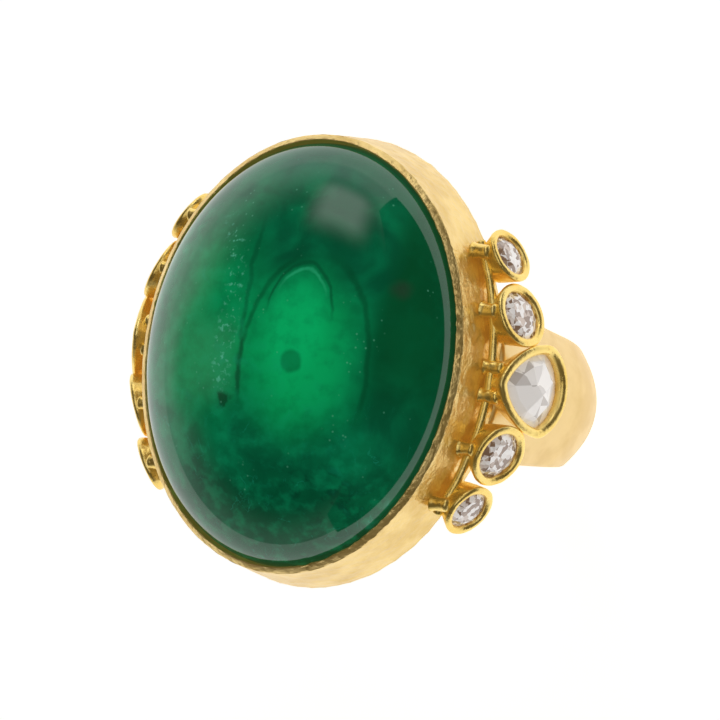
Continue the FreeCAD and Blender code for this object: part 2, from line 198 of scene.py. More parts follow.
def skin(name, rows, closed_ends=(False, False), wrap=True):
    """Smooth mesh through rows of points; a closed end is filled from its middle."""
    rows = np.asarray(rows, float)
    count, around = rows.shape[:2]
    points = [tuple(p) for p in rows.reshape(-1, 3)]
    faces = []
    for i in range(count - 1):
        for j in range(around if wrap else around - 1):
            k = (j + 1) % around
            faces.append((i * around + j, i * around + k, (i + 1) * around + k, (i + 1) * around + j))
    for closed, row, flip in ((closed_ends[0], 0, True), (closed_ends[1], count - 1, False)):
        if closed:
            middle = len(points)
            points.append(tuple(rows[row].mean(axis=0)))
            ring = [(row * around + j, row * around + (j + 1) % around) for j in range(around)]
            faces += [(b, a, middle) if flip else (a, b, middle) for a, b in ring]
    mesh = bpy.data.meshes.new(name)
    mesh.from_pydata(points, [], faces)
    return finish_mesh(name, mesh)


def finish_mesh(name, mesh, smooth=True):
    tidy = bmesh.new()
    tidy.from_mesh(mesh)
    bmesh.ops.recalc_face_normals(tidy, faces=tidy.faces)
    tidy.to_mesh(mesh)
    tidy.free()
    mesh.polygons.foreach_set("use_smooth", [smooth] * len(mesh.polygons))
    piece = bpy.data.objects.new(name, mesh)
    bpy.context.scene.collection.objects.link(piece)
    return piece


def set_on_ring(piece, finish, *nodes):
    """Gives a piece its finish, fixes it to the ring and lets it stand for its plain solids."""
    piece.data.materials.append(finish.material)
    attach(piece, "root")
    if nodes:
        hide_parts(*nodes)


def soft_noise(points, wave, seed):
    """Gentle repeatable waves of about the given length over points, mostly from -1 to 1."""
    rng = np.random.default_rng(seed)
    total = np.zeros(points.shape[:-1])
    for _ in range(14):
        direction = rng.normal(size=3)
        direction *= 2 * math.pi / (wave * rng.uniform(0.7, 1.6) * np.linalg.norm(direction))
        total += np.sin(points @ direction + rng.uniform(0, 2 * math.pi))
    return total / 5.0


bezel_low, bezel_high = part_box("main_bezel")
stone_low, stone_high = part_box("emerald")
FOOT_X, FOOT_Y = bezel_high.x, bezel_high.y
FOOT_Z, RIM_Z = bezel_low.z, bezel_high.z
WALL_FLARE = 0.45 * MM
RIM_BAND = 0.48 * MM
RIM_DROP = 0.25 * MM
WALL_ROWS = 46
HAMMER_COURSES = 6
MARKS_IN_COURSE = 88
HAMMER_FACE = 4.2 * MM
MARK_DEPTH = 0.05 * MM
OPEN_X = FOOT_X - WALL_FLARE - RIM_BAND
OPEN_Y = FOOT_Y - WALL_FLARE - RIM_BAND


def oval(half_x, half_y, z, turns):
    return np.stack([half_x * np.cos(turns), half_y * np.sin(turns), np.full_like(turns, z)], axis=-1)


def bezel_wall_outset(z):
    """How far the wall stands outside the rim's opening at height z."""
    share = (RIM_Z - RIM_DROP - z) / (RIM_Z - RIM_DROP - FOOT_Z)
    return RIM_BAND + WALL_FLARE * share


def hammered_bezel():
    turns = np.linspace(0, 2 * math.pi, 900, endpoint=False)
    wall_z = np.linspace(FOOT_Z, RIM_Z - RIM_DROP, WALL_ROWS)
    profile = [(RIM_BAND + WALL_FLARE - 0.10 * MM, FOOT_Z)]
    profile += [(bezel_wall_outset(z), z) for z in wall_z[1:]]
    rim_shape = ((0.475, 0.24), (0.45, 0.205), (0.38, 0.15), (0.30, 0.09), (0.225, 0.035), (0.185, 0.01),
                 (0.155, 0.025), (0.135, 0.07), (0.125, 0.14))
    profile += [(out * MM, RIM_Z - drop * MM) for out, drop in rim_shape]
    rows = np.stack([oval(OPEN_X + out, OPEN_Y + out, z, turns) for out, z in profile])
    outward = oval(1 / FOOT_X, 1 / FOOT_Y, 0, turns)
    outward /= np.linalg.norm(outward, axis=1, keepdims=True)

    # hammer marks: shallow round hollows in loose courses round the wall
    rng = np.random.default_rng(11)
    marks = []
    for course, height in enumerate(np.linspace(0.06, 0.98, HAMMER_COURSES)):
        for n in range(MARKS_IN_COURSE):
            angle = 2 * math.pi * (n + 0.5 * (course % 2) + rng.uniform(-0.38, 0.38)) / MARKS_IN_COURSE
            z = FOOT_Z + (RIM_Z - FOOT_Z) * (height + rng.uniform(-0.07, 0.07))
            marks.append((FOOT_X * math.cos(angle), FOOT_Y * math.sin(angle), z, rng.uniform(-0.006, 0.010)))
    wall = rows[:WALL_ROWS]
    depth = np.full(wall.shape[:2], 1.0)
    for x, y, z, lift in marks:
        span = np.linalg.norm(wall - np.array([x, y, z]), axis=-1)
        depth = np.minimum(depth, span ** 2 / (2 * HAMMER_FACE) + lift * MM)
    hollow = np.clip(depth, 0, MARK_DEPTH) - 0.9 * MARK_DEPTH
    fade = np.clip((RIM_Z - RIM_DROP - wall[..., 2]) / (0.5 * MM), 0, 1)
    rows[:WALL_ROWS] += outward * (hollow * (0.75 + 0.25 * fade))[..., None]

    # the burnished rim is pressed down by hand, so its band and its lip wander a little
    rim = rows[WALL_ROWS:]
    wander = soft_noise(rim, 2.6 * MM, 3) * 0.018 * MM + soft_noise(rim, 0.9 * MM, 4) * 0.007 * MM
    rim -= outward * np.abs(wander)[..., None]
    rim[..., 2] -= np.abs(soft_noise(rim, 1.8 * MM, 5)) * 0.014 * MM
    inner = [oval(OPEN_X + 0.09 * MM, OPEN_Y + 0.09 * MM, RIM_Z - 0.50 * MM, turns),
             oval(OPEN_X + 0.12 * MM, OPEN_Y + 0.12 * MM, RIM_Z - 1.0 * MM, turns),
             oval(OPEN_X + 0.12 * MM, OPEN_Y + 0.12 * MM, FOOT_Z, turns)]
    lip_nicks = (np.abs(soft_noise(rim[-1], 0.55 * MM, 6)) - 0.5) * 0.045 * MM
    rows[-4:] += outward * lip_nicks[:, None]
    return skin("hammered_bezel", np.concatenate([rows, inner, rows[:1]]))


hammered_gold = gold("hammered gold", "gold_hammered", (0.90, 0.68, 0.29), (0.77, 0.55, 0.21),
                     (0.24, 0.42), 0.085, 2.6)
set_on_ring(hammered_bezel(), hammered_gold, "main_bezel")


# ------------------------------------------------------------------ emerald
# An oval cabochon with a high polished dome and a flat base. The green light that comes back from inside
# it is painted on the dome and given off as a glow (painted light), together with painted dark arches,
# a round dark disc, chains of specks and cloudy lower veils.
STONE_X, STONE_Y = stone_high.x, stone_high.y
DOME_TOP = stone_high.z
STONE_BASE = stone_low.z
GIRDLE_ABOVE_FOOT = 3.2 * MM
GIRDLE_Z = FOOT_Z + GIRDLE_ABOVE_FOOT
DOME_H = DOME_TOP - GIRDLE_Z


def emerald_dome():
    """Rows of the dome from its top to its girdle, then its belly down to a flat foot."""
    turns = np.linspace(0, 2 * math.pi, 256, endpoint=False)
    rows = []
    for lean in np.linspace(0.01, math.pi / 2, 90):
        rows.append(oval(STONE_X * math.sin(lean), STONE_Y * math.sin(lean),
                         GIRDLE_Z + DOME_H * math.cos(lean), turns))
    for inset, z in ((0.15 * MM, GIRDLE_Z - 0.2 * MM), (0.85 * MM, STONE_BASE + 0.04 * MM),
                     (0.95 * MM, STONE_BASE)):
        rows.append(oval(STONE_X - inset, STONE_Y - inset, z, turns))
    return skin("emerald_dome", rows, (True, True))


class Stone(Finish):
    """The emerald's finish: marks are placed in millimetres on the ring, seen from above."""

    def start(self, ground):
        self.green = ground

    def mark(self, share, tone):
        self.green = self.blend(share, self.green, (*tone, 1))

    def reach(self, middle, half, at):
        """0 at the middle of an ellipse, 1 on its outline."""
        moved = self.vector("SUBTRACT", at, (*middle, 0.0))
        scaled = self.vector("MULTIPLY", moved, (1 / half[0], 1 / half[1], 0.0))
        return self.vector("LENGTH", scaled, output="Value")

    def patch(self, middle, half, at, edge=0.2, outer=1.15):
        """Soft patch: full inside edge, gone at outer."""
        return self.step(self.reach(middle, half, at), outer, edge)

    def bow(self, middle, half, width, low, high, at):
        """The part of an oval line whose y lies between low and high."""
        line = self.step(abs(self.reach(middle, half, at) - 1.0), width, width * 0.15)
        y = self.axis("Y")
        return line * self.step(y, low - 0.7, low + 0.7) * self.step(y, high + 0.7, high - 0.7)


# Emission_Strength: the stone's painted colour also glows, painted light standing for the green light coming
# back from inside it
emerald = Stone("emerald", "emerald", IOR=1.45, Coat_Weight=1.0, Coat_Roughness=0.05, Coat_IOR=1.58,
                Emission_Strength=0.70, Specular_IOR_Level=0.0)
swirl = emerald.vector("SUBTRACT", emerald.node("ShaderNodeTexNoise", None, {
    "Vector": emerald.mm, "Scale": 0.22, "Detail": 3.0}, output=1), (0.5, 0.5, 0.5))
bent = emerald.vector("ADD", emerald.mm, emerald.vector("SCALE", swirl, Scale=2.0))
shiver = emerald.vector("SUBTRACT", emerald.node("ShaderNodeTexNoise", None, {
    "Vector": emerald.mm, "Scale": 1.1, "Detail": 3.0}, output=1), (0.5, 0.5, 0.5))
wavy = emerald.vector("ADD", emerald.mm, emerald.vector("SCALE", shiver, Scale=0.32))
x_mm, y_mm = emerald.axis("X"), emerald.axis("Y")
cloud = emerald.noise(0.33, 6.0, at=bent, distortion=0.4)
fine_cloud = emerald.noise(1.2, 6.0, at=bent)

# ground colour, then painted light and shade: the lit heart as a painted pool of light, the lighter left side
# as painted light, and painted shade on the right, at the foot and round the edge
emerald.start(emerald.blend(emerald.step(cloud, 0.34, 0.68), (0.0008, 0.068, 0.028, 1),
                            (0.0015, 0.150, 0.058, 1)))
# painted light: the lighter left side
emerald.mark(emerald.patch((-3.0, 0.6), (4.0, 6.4), bent, 0.3) * 0.85, (0.0012, 0.265, 0.080))
# painted pool of light: the lit heart and its brighter core
emerald.mark(emerald.patch((2.2, -0.3), (3.9, 5.2), bent, 0.25) * 0.92, (0.0015, 0.380, 0.105))
emerald.mark(emerald.patch((1.9, 1.2), (1.7, 3.2), wavy, 0.5) * 0.40, (0.002, 0.500, 0.150))
# painted shade on the stone's right side
emerald.mark(emerald.step(x_mm + 1.6 * cloud, 5.9, 7.2) * emerald.step(y_mm, -4.5, 0.5) * 0.80,
             (0.0008, 0.050, 0.013))
# painted shade towards the stone's foot
emerald.mark(emerald.step(y_mm + 2.0 * cloud, -3.4, -9.2) * 0.78, (0.0006, 0.050, 0.019))
emerald.mark(emerald.step(y_mm, 7.5, 10.2) * 0.40, (0.001, 0.100, 0.060))
# painted shade round the stone's edge
rim_shade = emerald.reach((0.0, 0.0), (STONE_X / MM, STONE_Y / MM), emerald.mm)
emerald.mark(emerald.step(rim_shade, 0.84, 0.99) * 0.66, (0.0006, 0.050, 0.017))

# painted dark arches, the seat ring's edges seen through the stone: one over the heart with a painted bright
# edge along it and a longer one round it; and a straight dark line at its left
# painted dark arch: the seat ring's edge seen through the stone
emerald.mark(emerald.bow((1.90, 1.2), (1.78, 3.25), 0.060, 2.0, 6.0, wavy) * 0.55, (0.0008, 0.050, 0.018))
emerald.mark(emerald.bow((2.42, -1.0), (3.32, 6.0), 0.060, -2.9, 4.6, wavy) * 0.50, (0.0006, 0.045, 0.014))
# painted highlight: a bright edge along the upper arch
emerald.mark(emerald.bow((1.90, 0.95), (1.62, 3.15), 0.050, 3.2, 6.0, wavy) * 0.40, (0.030, 0.480, 0.220))
leg = emerald.step(abs(x_mm + 1.0 + 0.05 * y_mm + 0.5 * (fine_cloud - 0.5)), 0.22, 0.03)
leg = leg * emerald.step(y_mm, -3.9, -2.2) * emerald.step(y_mm, 7.4, 5.0)
emerald.mark(leg * 0.50, (0.0008, 0.060, 0.022))

# dark things: a smudge at the foot of the leg, the round disc (painted shade: the back plate's hole seen
# through the stone), a low cloud and a dull fleck
emerald.mark(emerald.step(emerald.noise(0.9, 4.0, at=wavy), 0.50, 0.66)
             * emerald.patch((-1.8, -3.2), (1.1, 0.5), wavy, 0.4) * 0.85, (0.0006, 0.040, 0.012))
# painted shade: the round disc stands for the back plate's hole seen through the stone
emerald.mark(emerald.patch((1.95, -0.72), (0.60, 0.66), wavy, 0.70, 1.12) * 0.62, (0.001, 0.110, 0.034))
emerald.mark(emerald.step(fine_cloud, 0.48, 0.62) * emerald.patch((3.8, -7.3), (2.6, 1.9), bent, 0.3) * 0.75,
             (0.0004, 0.022, 0.010))
emerald.mark(emerald.patch((6.45, 3.76), (0.6, 0.65), wavy, 0.1) * 0.55, (0.020, 0.030, 0.020))

# pale things: thin veils, fine feathers, a chain of specks at the left and loose ones below
veil = emerald.step(fine_cloud, 0.54, 0.72) * emerald.step(cloud, 0.40, 0.62)
left_or_low = emerald.step(x_mm + 0.9 * y_mm, 4.0, -1.0)
emerald.mark(veil * left_or_low * 0.24, (0.006, 0.280, 0.150))
drawn = emerald.vector("MULTIPLY", bent, (1.0, 0.5, 1.0))
feather = emerald.step(abs(emerald.noise(0.9, 5.0, at=drawn, distortion=0.8) - 0.5), 0.014, 0.002)
broken = emerald.step(emerald.noise(0.8, 3.0), 0.50, 0.62)
emerald.mark(feather * broken * emerald.step(y_mm, -1.5, -5.0) * 0.30, (0.012, 0.260, 0.160))
grain = emerald.node("ShaderNodeTexVoronoi", None, {"Vector": emerald.mm, "Scale": 2.4}, output="Distance")
chain = emerald.step(abs(x_mm + 2.0 + 0.55 * emerald.step(y_mm, 2.0, 7.0) * y_mm / 2.5), 0.9, 0.1)
chain = chain * emerald.step(y_mm, -3.4, -1.5) * emerald.step(y_mm, 7.0, 5.0)
loose = emerald.step(emerald.noise(0.5, 2.0), 0.54, 0.66) * 0.6
specks = emerald.step(grain, 0.19, 0.05) * (chain + loose)
emerald.mark(specks * 0.42, (0.150, 0.560, 0.360))
mist = emerald.step(emerald.noise(3.4, 6.0), 0.55, 0.70) * chain
emerald.mark(mist * 0.62, (0.110, 0.520, 0.350))
mottle = emerald.noise(1.3, 9.0)
emerald.mark(emerald.step(mottle, 0.44, 0.76) * left_or_low * 0.30, (0.004, 0.300, 0.120))
emerald.mark(emerald.step(mottle, 0.58, 0.24) * 0.30, (0.0006, 0.080, 0.028))
emerald.set("Base Color", emerald.green)
# the painted green, with its painted light and shade, is also given off as emission: a painted glow
emerald.set("Emission Color", emerald.green)
emerald.set("Roughness", 0.40 + 0.2 * cloud)

set_on_ring(emerald_dome(), emerald, "emerald")


# ------------------------------------------------------------------ band
# The shank: heavy D-section gold, widest at the shoulders, soldered under the bezel's foot and
# finished to a soft satin with wheels and fine paper.
BORE_R = 8.65 * MM
SIDE_WALL = 1.75 * MM
BOTTOM_WALL = 1.65 * MM
HALF_TOP = 3.95 * MM
HALF_BOTTOM = 2.75 * MM
CROWN = 1.35 * MM
SIDE_R = BORE_R + SIDE_WALL
UNDER_FOOT = 0.17 * MM
SHOULDER_LEAN = (SIDE_R - FOOT_X - UNDER_FOOT) / FOOT_Z
FULL_WIDTH_SHARE = 1.25
THINNING_POWER = 1.5
END_TURN = 35
EDGE_SHARE = 0.045
EDGE_ROUNDING = 0.16 * MM


def band_outline(turn):
    """Outer radius and half width of the band at an angle from +Z."""
    rise = max(0.0, math.cos(turn))
    reach = abs(math.sin(turn)) if rise > 0 else 1.0
    low = max(0.0, -math.cos(turn)) ** THINNING_POWER
    spread = min(1.0, FULL_WIDTH_SHARE * (1 + math.cos(turn)) / 2)
    outer = SIDE_R / (reach + SHOULDER_LEAN * rise) - (SIDE_WALL - BOTTOM_WALL) * low
    return outer, HALF_BOTTOM + (HALF_TOP - HALF_BOTTOM) * spread


def satin_band():
    rows = []
    for turn in np.radians(np.linspace(END_TURN, 360 - END_TURN, 260)):
        outer, half = band_outline(turn)
        top = (FOOT_Z - 0.02 * MM) / max(math.cos(turn), 1e-6) if math.cos(turn) > 0 else 1.0
        section = []
        for share in np.linspace(-1, 1, 41):
            y = half * math.sin(share * math.pi / 2)
            bow = 1 - (y / half) ** 2
            edge = min(1.0, (1 - abs(y) / half) / EDGE_SHARE)
            r = outer - CROWN * (1 - bow) - EDGE_ROUNDING * (1 - math.sqrt(1 - (1 - edge) ** 2))
            section.append((y, r))
        edge_r = section[0][1]
        inner = [(half * s, BORE_R + 0.06 * MM * abs(s) ** 8) for s in np.linspace(0.992, -0.992, 13)]
        side = [(half, edge_r + (BORE_R - edge_r) * s) for s in (0.25, 0.55, 0.85)]
        loop = section + side + inner + [(-y, r) for y, r in reversed(side)]
        rows.append([(min(r, top) * math.sin(turn), y, min(r, top) * math.cos(turn)) for y, r in loop])
    rows = np.array(rows)
    across = np.array([1, 0, 1])
    radial = rows / np.linalg.norm(rows * across, axis=-1, keepdims=True) * across
    outside = np.linalg.norm(rows * across, axis=-1) > BORE_R + 0.3 * MM
    rows -= radial * (outside * np.abs(soft_noise(rows, 5.0 * MM, 21)) * 0.02 * MM)[..., None]
    return skin("satin_band", rows, (True, True))


satin_gold = gold("satin gold", "gold_satin", (0.82, 0.62, 0.30), (0.74, 0.54, 0.24),
                  (0.32, 0.46), 0.005, 9.0, 0.4)
set_on_ring(satin_band(), satin_gold, "shank")
for node in ("stone_seat", "back_plate"):
    solid = frame["nodes"][node]
    solid.data.materials.clear()
    solid.data.materials.append(satin_gold.material)


# ------------------------------------------------------------------ round collets
# Tapered cups spun from gold sheet. Each one's rim is burnished over its stone by hand, so the
# band is a little uneven; the foot is filed to fit the bezel's wall and soldered there.
burnished_gold = gold("burnished gold", "gold_polished", (0.98, 0.75, 0.26), (0.92, 0.65, 0.18),
                      (0.20, 0.36), 0.022, 5.0)
GIRDLE_SINK = 0.38 * MM
FOOT_BITE = 0.03 * MM
PAVILION_SHARE = 0.83
ROUND = {
    "medium": dict(stone=1.38 * MM, wall=0.36 * MM, depth=1.75 * MM, foot=1.05 * MM, rise=0.68 * MM,
                   tilt=72, turn=22),
    "small": dict(stone=1.20 * MM, wall=0.30 * MM, depth=1.55 * MM, foot=0.90 * MM, rise=0.65 * MM,
                  tilt=76, turn=31),
}
for kind in ROUND.values():
    kind["rim"] = kind["stone"] + kind["wall"]
PEAR_HALF, PEAR_WALL = 2.05 * MM, 0.42 * MM
TUCKED_BY_PEAR = 0.46 * MM
ROW_GAP = 0.05 * MM
ROW_TURN = math.radians(22)
ROUND["medium"]["y"] = PEAR_HALF + PEAR_WALL + ROUND["medium"]["rim"] - TUCKED_BY_PEAR
ROW_STEP = (ROUND["medium"]["rim"] + ROUND["small"]["rim"] + ROW_GAP) * math.cos(ROW_TURN)
ROUND["small"]["y"] = ROUND["medium"]["y"] + ROW_STEP


def wall_x(y):
    return FOOT_X * math.sqrt(1 - (y / FOOT_Y) ** 2)


def round_setting(kind):
    """Matrix that carries a collet from the bench (face up, rim at height 0) to the right shoulder."""
    k = ROUND[kind]
    tilt, turn = math.radians(k["tilt"]), math.radians(k["turn"])
    point = GIRDLE_SINK + PAVILION_SHARE * k["stone"]
    behind = wall_x(k["y"] - point * math.sin(turn))
    x = behind + point * math.sin(tilt) * math.cos(turn) + 0.08 * MM
    spin = Matrix.Rotation(tilt, 4, "Y") @ Matrix.Rotation(-turn, 4, "X")
    return Matrix.Translation((x, k["y"], FOOT_Z + k["rise"])) @ spin


def carried(points, matrix, mirror):
    """Bench points set on the ring, then reflected to the side and level wanted."""
    points = np.asarray(points, float)
    turned = points @ np.array(matrix.to_3x3()).T + np.array(matrix.translation)
    return turned * np.array([mirror[0], mirror[1], 1.0])


def off_the_bezel(points):
    """Slides points that would lie inside the bezel out to its wall, as a foot is filed to fit."""
    z = np.clip(points[..., 2], FOOT_Z, RIM_Z)
    share = (RIM_Z - RIM_DROP - z) / (RIM_Z - RIM_DROP - FOOT_Z)
    out = RIM_BAND + WALL_FLARE * np.clip(share, 0, 1) - FOOT_BITE
    level = np.sqrt((points[..., 0] / (OPEN_X + out)) ** 2 + (points[..., 1] / (OPEN_Y + out)) ** 2)
    inside = (level < 1) & (points[..., 2] > FOOT_Z - 0.02 * MM)
    grow = np.where(inside, 1 / np.maximum(level, 1e-6), 1.0)
    return points * np.stack([grow, grow, np.ones_like(grow)], axis=-1)


def round_cup(name, kind, mirror, seed):
    k = ROUND[kind]
    stone, rim, depth, foot = k["stone"], k["rim"], k["depth"], k["foot"]
    profile = [(0.62 * foot, -depth), (0.9 * foot, -depth), (foot, -depth + 0.06 * MM)]
    for share in np.linspace(0.12, 0.92, 12):
        profile.append((foot + (rim - foot) * share ** 0.85, -depth + (depth - 0.2 * MM) * share))
    rim_band = ((0.0, -0.20), (0.0, -0.11), (-0.05, -0.04), (-0.13, -0.005))
    lip = ((0.08, 0.0), (0.0, -0.02), (-0.07, -0.08), (-0.11, -0.17), (-0.10, -0.26), (0.01, -0.33),
           (0.01, -0.44))
    profile += [(rim + out * MM, z * MM) for out, z in rim_band]
    profile += [(stone + out * MM, z * MM) for out, z in lip]
    profile += [(0.55 * stone, -0.95 * MM), (0.55 * foot, -depth + 0.2 * MM)]
    turns = np.linspace(0, 2 * math.pi, 96, endpoint=False)
    rows = np.stack([np.stack([r * np.cos(turns), r * np.sin(turns), np.full_like(turns, z)], -1)
                     for r, z in profile + profile[:1]])
    radial = np.stack([np.cos(turns), np.sin(turns), np.zeros_like(turns)], -1)
    waves = soft_noise(rows, 1.5 * MM, seed) * 0.022 * MM + soft_noise(rows, 0.5 * MM, seed + 50) * 0.006 * MM
    outside = np.linalg.norm(rows[..., :2], axis=-1) > 0.8 * stone
    shell = np.where(rows[..., 2] > -0.7 * depth, 1.0, 0.4) * outside
    rows = rows - radial * (np.abs(waves) * shell)[..., None]
    placed = off_the_bezel(carried(rows, round_setting(kind), mirror))
    return skin(name, placed)


# ------------------------------------------------------------------ round diamonds
# Brilliant-cut stones: an eight-sided table, star, kite and girdle facets above, a thin
# girdle, and long pavilion facets down to the point.
def cut_stone(name, fire, greys, deep, middling):
    """Diamond: each facet gets its own painted tone standing for the light thrown back by the facets beneath
    it; the tones also glow as painted light.
    """
    made = Finish(name, "diamond", Roughness=0.05, IOR=2.2, Transmission_Weight=0.12, Coat_Weight=0.6,
                  Coat_Roughness=0.02, Emission_Strength=0.16)
    facet = made.node("ShaderNodeTexCoord", output="Normal")
    under = made.node("ShaderNodeTexVoronoi", {"feature": "F1"}, {"Vector": made.mm, "Scale": fire},
                      output="Color")
    mixed = made.vector("ADD", made.vector("SCALE", facet, Scale=7.0), made.vector("SCALE", under, Scale=2.4))
    tone = made.node("ShaderNodeTexWhiteNoise", None, {"Vector": made.vector("SNAP", mixed, (0.7, 0.7, 0.7))})
    # painted reflections: each facet's dark brown, pinkish grey or white tone
    colour = made.blend(made.step(tone, greys, greys + 0.16), (*deep, 1), (*middling, 1))
    colour = made.blend(made.step(tone, greys + 0.12, greys + 0.42), colour, (0.95, 0.91, 0.87, 1))
    made.set("Base Color", colour)
    # the painted facet tones also glow as emission: painted light
    made.set("Emission Color", colour)
    return made


diamond = cut_stone("brilliant diamond", 4.2, 0.32, (0.26, 0.16, 0.10), (0.60, 0.47, 0.38))
rose_diamond = cut_stone("rose-cut diamond", 0.9, 0.04, (0.52, 0.47, 0.43), (0.74, 0.70, 0.67))


def hull(name, points):
    """Faceted stone: the smallest convex solid round its corners, with flat faces merged."""
    stone = bmesh.new()
    for p in points:
        stone.verts.new(p)
    made = bmesh.ops.convex_hull(stone, input=stone.verts)
    loose = [v for v in made["geom_interior"] + made["geom_unused"] if isinstance(v, bmesh.types.BMVert)]
    bmesh.ops.delete(stone, geom=loose, context="VERTS")
    bmesh.ops.dissolve_limit(stone, angle_limit=math.radians(0.6), verts=stone.verts, edges=stone.edges)
    mesh = bpy.data.meshes.new(name)
    stone.to_mesh(mesh)
    stone.free()
    return finish_mesh(name, mesh, smooth=False)


def brilliant_corners(radius, spin):
    """Corners of a round brilliant with its girdle's middle at height 0."""
    table, crown, star, belt, lower = 0.56, 0.29, 0.78, 0.02, 0.24
    corners = []
    for n in range(8):
        main = spin + n * math.pi / 4
        half = main + math.pi / 8
        corners.append((table, main, crown + belt))
        reach = star * math.cos(math.pi / 8)
        corners.append((star, half, belt + crown * (1 - reach) / (1 - table)))
        corners.append((lower, half, -belt - PAVILION_SHARE * (1 - lower * math.cos(math.pi / 8))))
        for angle in (main, half):
            corners += [(1.0, angle, belt), (1.0, angle, -belt)]
    corners.append((0.0, 0.0, -belt - PAVILION_SHARE))
    return [(radius * r * math.cos(a), radius * r * math.sin(a), radius * z) for r, a, z in corners]


def round_diamond(name, kind, mirror, spin):
    k = ROUND[kind]
    corners = np.array(brilliant_corners(k["stone"] - 0.01 * MM, spin))
    corners[:, 2] -= GIRDLE_SINK
    return hull(name, carried(corners, round_setting(kind), mirror))


SPIN_PER_SEED = 0.37
seed = 100
for side, sx in (("right", 1), ("left", -1)):
    for level, sy in (("upper", 1), ("lower", -1)):
        for kind in ROUND:
            seed += 7
            cup = round_cup(f"{side}_{level}_{kind}_cup", kind, (sx, sy), seed)
            set_on_ring(cup, burnished_gold, f"{side}_{level}_{kind}_collet")
            gem = round_diamond(f"{side}_{level}_{kind}_brilliant", kind, (sx, sy), seed * SPIN_PER_SEED)
            set_on_ring(gem, diamond, f"{side}_{level}_{kind}_diamond")


# ------------------------------------------------------------------ pear collets and stones
# A pear-shaped cup in the middle of each row, its point towards the big stone, with a rose-cut
# diamond: a flat back and a low dome of a few broad facets.
PEAR_TIP, PEAR_END, PEAR_WIDE = 2.25 * MM, 2.05 * MM, 0.75 * MM
PEAR_FLANK = 3.4 * MM
PEAR_DEPTH = 1.9 * MM
PEAR_TAPER = 0.75 * MM
LEDGE_DEPTH = 0.85 * MM
ROSE_HEIGHT = 0.95 * MM
PEAR_TILT = math.radians(71)
TIP_GROWTH = 1.25
WIDEST_GROWTH = 0.35


def bowed(start, end, radius, count):
    """Points from start up to, not including, end on an arc bowing to the right of the way."""
    start, end = np.array(start), np.array(end)
    chord = end - start
    span = np.linalg.norm(chord)
    left = np.array([-chord[1], chord[0]]) / span
    centre = (start + end) / 2 + left * math.sqrt(radius ** 2 - span ** 2 / 4)
    a = math.atan2(*(start - centre)[::-1])
    b = math.atan2(*(end - centre)[::-1])
    if b < a:
        b += 2 * math.pi
    turns = np.linspace(a, b, count, endpoint=False)
    return [centre + radius * np.array([math.cos(t), math.sin(t)]) for t in turns]


def pear_outline(grow, count=36, rounding=0):
    """Pear outline grown by a width; rounding is how often its corners are softened."""
    tip = np.array([-(PEAR_TIP + TIP_GROWTH * grow), 0.0])
    half, end, wide = PEAR_HALF + grow, PEAR_END + grow, PEAR_WIDE + WIDEST_GROWTH * grow
    bow = end - wide
    low, high = np.array([wide, -half]), np.array([wide, half])
    flank = PEAR_FLANK + grow
    end_radius = (bow ** 2 + half ** 2) / (2 * bow)
    points = np.array(bowed(tip, low, flank, count) + bowed(low, high, end_radius, count)
                      + bowed(high, tip, flank, count))
    for _ in range(rounding):
        points = (np.roll(points, 1, axis=0) + 2 * points + np.roll(points, -1, axis=0)) / 4
    return points


def pear_setting():
    where = (FOOT_X + 2.1 * MM, 0, FOOT_Z - 0.25 * MM)
    return Matrix.Translation(where) @ Matrix.Rotation(PEAR_TILT, 4, "Y")


def pear_cup(name, mirror, seed):
    levels = [(-0.55 * MM, -PEAR_DEPTH), (PEAR_WALL - PEAR_TAPER - 0.05 * MM, -PEAR_DEPTH)]
    for share in np.linspace(0.06, 0.94, 12):
        z = -PEAR_DEPTH + (PEAR_DEPTH - 0.2 * MM) * share
        levels.append((PEAR_WALL - PEAR_TAPER * (1 - share ** 0.8), z))
    rim_band = ((0.0, -0.20), (-0.01, -0.11), (-0.07, -0.03), (-0.17, 0.0))
    lip = ((0.14, 0.0), (0.04, -0.03), (-0.05, -0.12), (-0.10, -0.24), (-0.09, -0.5), (0.01, -0.6))
    levels += [(PEAR_WALL + out * MM, z * MM) for out, z in rim_band]
    levels += [(out * MM, z * MM) for out, z in lip]
    levels += [(0.01 * MM, -LEDGE_DEPTH), (-0.5 * MM, -LEDGE_DEPTH)]
    rows = []
    for grow, z in levels + levels[:1]:
        ring = pear_outline(grow, rounding=3)
        rows.append(np.column_stack([ring, np.full(len(ring), z)]))
    rows = np.array(rows)
    waves = soft_noise(rows, 1.7 * MM, seed) * 0.022 + soft_noise(rows, 0.55 * MM, seed + 9) * 0.006
    rows[..., :2] *= (1 - np.abs(waves) * 0.35)[..., None]
    return skin(name, off_the_bezel(carried(rows, pear_setting(), mirror)))


def rose_cut(name, mirror):
    base = -LEDGE_DEPTH + 0.02 * MM
    outline = pear_outline(-0.01 * MM, count=8)
    corners = [(x, y, base) for x, y in outline]
    corners += [(x, y, base + 0.22 * MM) for x, y in outline]
    shoulder = pear_outline(-0.62 * MM, count=3)
    corners += [(x, y, base + 0.68 * ROSE_HEIGHT) for x, y in shoulder]
    corners.append((-0.15 * MM, 0.25 * MM, base + ROSE_HEIGHT))
    corners.append((0.45 * MM, -0.2 * MM, base + 0.98 * ROSE_HEIGHT))
    return hull(name, carried(corners, pear_setting(), mirror))


for side, sx in (("right", 1), ("left", -1)):
    set_on_ring(pear_cup(f"{side}_pear_cup", (sx, 1), 300 + sx), burnished_gold, f"{side}_pear_collet")
    set_on_ring(rose_cut(f"{side}_pear_rose", (sx, 1)), rose_diamond, f"{side}_pear_diamond")


